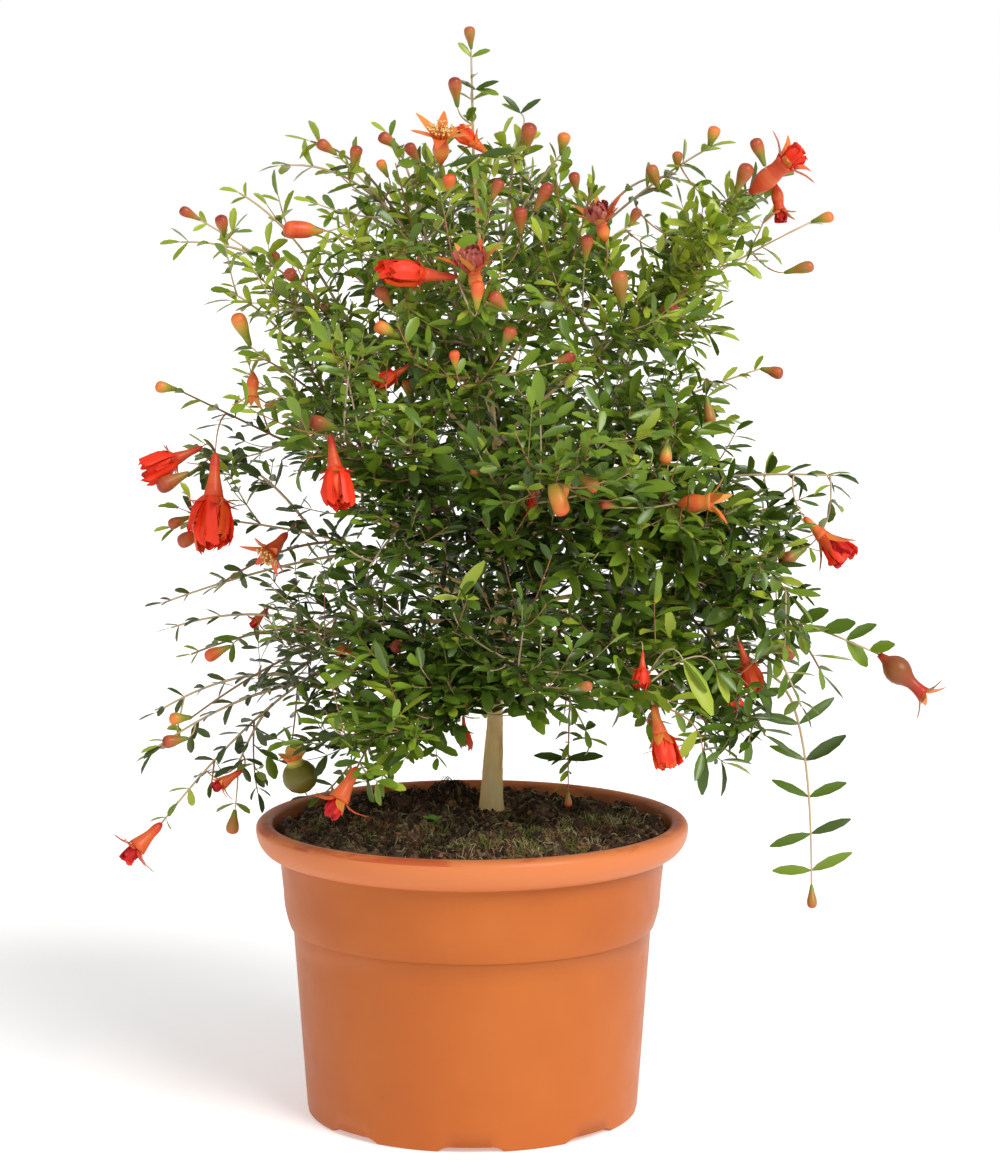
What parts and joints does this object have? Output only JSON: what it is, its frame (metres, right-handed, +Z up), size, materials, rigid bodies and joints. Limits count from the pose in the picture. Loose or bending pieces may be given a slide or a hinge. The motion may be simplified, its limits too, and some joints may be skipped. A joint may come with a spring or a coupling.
{
  "type": "dwarf pomegranate tree in flower in a round plastic pot",
  "caption": "Small pomegranate tree with a short bare trunk, open twiggy crown, red blossom and buds, standing in a flared round nursery pot filled with compost.",
  "frame": {"origin": "middle of the pot's flat underside, on the surface it stands on", "axes": "+Z up along the trunk, +X to the right and +Y away from the viewer in the front view"},
  "size_m": [0.3896, 0.3225, 0.4982],
  "materials": {
    "pot_plastic": "satin",
    "compost": "matte",
    "bark": "matte",
    "foliage": "satin",
    "petal": "satin",
    "calyx": "satin"
  },
  "bodies": {
    "root": {"bough_back": "bark", "bough_back_left": "bark", "bough_back_left_low": "bark", "bough_back_left_top": "bark", "bough_back_low": "bark", "bough_back_right": "bark", "bough_back_right_low": "bark", "bough_back_right_top": "bark", "bough_far_left_low": "bark", "bough_far_right_low": "bark", "bough_front_left": "bark", "bough_front_left_low": "bark", "bough_front_low": "bark", "bough_front_middle": "bark", "bough_front_right": "bark", "bough_front_right_low": "bark", "bough_front_top": "bark", "bough_left_low": "bark", "bough_left_middle": "bark", "bough_left_upper": "bark", "bough_right_middle": "bark", "bough_right_upper": "bark", "bough_upper_left": "bark", "bough_upper_left_inner": "bark", "bough_upper_right": "bark", "bough_upper_right_inner": "bark", "bough_weeping_right": "bark", "foliage_back": "foliage", "foliage_back_left": "foliage", "foliage_back_left_low": "foliage", "foliage_back_left_top": "foliage", "foliage_back_low": "foliage", "foliage_back_right": "foliage", "foliage_back_right_low": "foliage", "foliage_back_right_top": "foliage", "foliage_far_left_low": "foliage", "foliage_far_right_low": "foliage", "foliage_front_left": "foliage", "foliage_front_left_low": "foliage", "foliage_front_low": "foliage", "foliage_front_middle": "foliage", "foliage_front_right": "foliage", "foliage_front_right_low": "foliage", "foliage_front_top": "foliage", "foliage_leader": "foliage", "foliage_left_low": "foliage", "foliage_left_middle": "foliage", "foliage_left_upper": "foliage", "foliage_right_middle": "foliage", "foliage_right_upper": "foliage", "foliage_top_right": "foliage", "foliage_upper_left": "foliage", "foliage_upper_left_inner": "foliage", "foliage_upper_right": "foliage", "foliage_upper_right_inner": "foliage", "foliage_weeping_right": "foliage", "pot": "pot_plastic", "soil": "compost", "trunk": "bark"}
  },
  "joints": []
}
